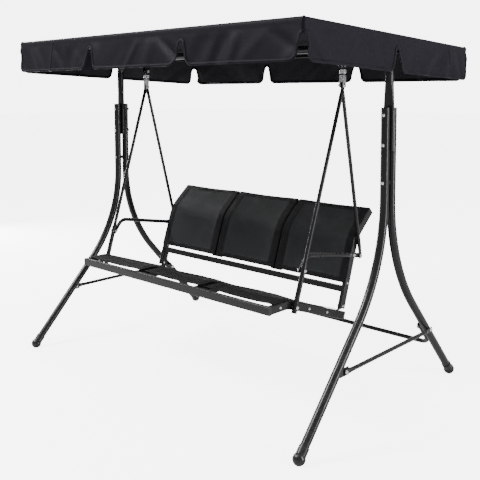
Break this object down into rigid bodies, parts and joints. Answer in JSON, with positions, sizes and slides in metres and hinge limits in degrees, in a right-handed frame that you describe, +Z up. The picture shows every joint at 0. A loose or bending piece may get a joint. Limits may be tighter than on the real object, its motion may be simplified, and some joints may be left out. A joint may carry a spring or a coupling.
{
  "type": "glider swing",
  "caption": "Garden glider swing: sling seat and back hung by V hangers from a beam on splayed legs, under a tilting fabric canopy with a notched border.",
  "frame": {"origin": "on the ground at the middle of the footprint", "axes": "+Z up, +X along the seat and the beam, the seat faces -Y"},
  "size_m": [1.752, 1.1624, 1.5146],
  "materials": {
    "frame_black": "satin powder coat",
    "zinc_steel": "bright zinc plate",
    "spring_steel": "bright zinc plate",
    "black_plastic": "moulded, fine texture",
    "sling_fabric": "coated open weave",
    "canopy_fabric": "woven polyester with a sheen"
  },
  "bodies": {
    "stand": {"leg_front_left": "frame_black", "leg_front_right": "frame_black", "leg_rear_left": "frame_black", "leg_rear_right": "frame_black", "foot_caps": "black_plastic", "side_brace_left": "frame_black", "side_brace_right": "frame_black", "brace_tabs": "frame_black", "rear_stretcher": "frame_black", "top_beam_left": "frame_black", "top_beam_right": "frame_black", "beam_joiner": "frame_black", "frame_bolts": "zinc_steel", "leg_spacers": "frame_black", "hanger_bracket_left": "frame_black", "hanger_bracket_right": "frame_black", "bracket_bolts": "zinc_steel"},
    "hooks": {"spring_left": "spring_steel", "spring_right": "spring_steel"},
    "seat": {"hanger_links": "zinc_steel", "hanger_front_left": "frame_black", "hanger_front_right": "frame_black", "hanger_sleeve_left": "frame_black", "hanger_sleeve_right": "frame_black", "hanger_rear_left": "frame_black", "hanger_rear_right": "frame_black", "armrest_left": "frame_black", "armrest_right": "frame_black", "seat_side_rail_left": "frame_black", "seat_side_rail_right": "frame_black", "back_side_tube_left": "frame_black", "back_side_tube_right": "frame_black", "seat_front_rail": "frame_black", "seat_rear_rail": "frame_black", "seat_mid_supports": "frame_black", "back_top_rail": "frame_black", "back_lower_rail": "frame_black", "back_mid_supports": "frame_black", "seat_sling_left": "sling_fabric", "seat_sling_middle": "sling_fabric", "seat_sling_right": "sling_fabric", "back_sling_left": "sling_fabric", "back_sling_middle": "sling_fabric", "back_sling_right": "sling_fabric", "corner_brackets": "frame_black", "seat_bolts": "zinc_steel"},
    "canopy": {"canopy_rail_front": "frame_black", "canopy_rail_rear": "frame_black", "canopy_rail_left": "frame_black", "canopy_rail_right": "frame_black", "canopy_corners": "black_plastic", "canopy_cross_arms": "frame_black", "tilt_collars": "frame_black", "canopy_top": "canopy_fabric", "canopy_valance_front": "canopy_fabric", "canopy_valance_rear": "canopy_fabric", "canopy_valance_left": "canopy_fabric", "canopy_valance_right": "canopy_fabric"},
    "knob_left": {"tilt_knob_left": "black_plastic"},
    "knob_right": {"tilt_knob_right": "black_plastic"}
  },
  "joints": [
    {"name": "seat_swing", "type": "hinge", "parent": "stand", "child": "hooks", "pos_m": [0, 0, 1.381], "axis": [1, 0, 0], "range_deg": [-25, 25]},
    {"name": "seat_bounce", "type": "slide", "parent": "hooks", "child": "seat", "axis": [0, 0, 1], "range_m": [-0.012, 0], "stiffness_N_per_m": 120000, "springref_m": 0.0015, "deforming": ["spring_left", "spring_right"]},
    {"name": "canopy_tilt", "type": "hinge", "parent": "stand", "child": "canopy", "pos_m": [0, 0, 1.45], "axis": [1, 0, 0], "range_deg": [-15, 15]},
    {"name": "knob_turn_left", "type": "hinge", "parent": "canopy", "child": "knob_left", "pos_m": [-0.7, 0, 1.45], "axis": [0, 0.7753, -0.6316], "continuous": true},
    {"name": "knob_turn_right", "type": "hinge", "parent": "canopy", "child": "knob_right", "pos_m": [0.7, 0, 1.45], "axis": [0, 0.7753, -0.6316], "continuous": true}
  ]
}
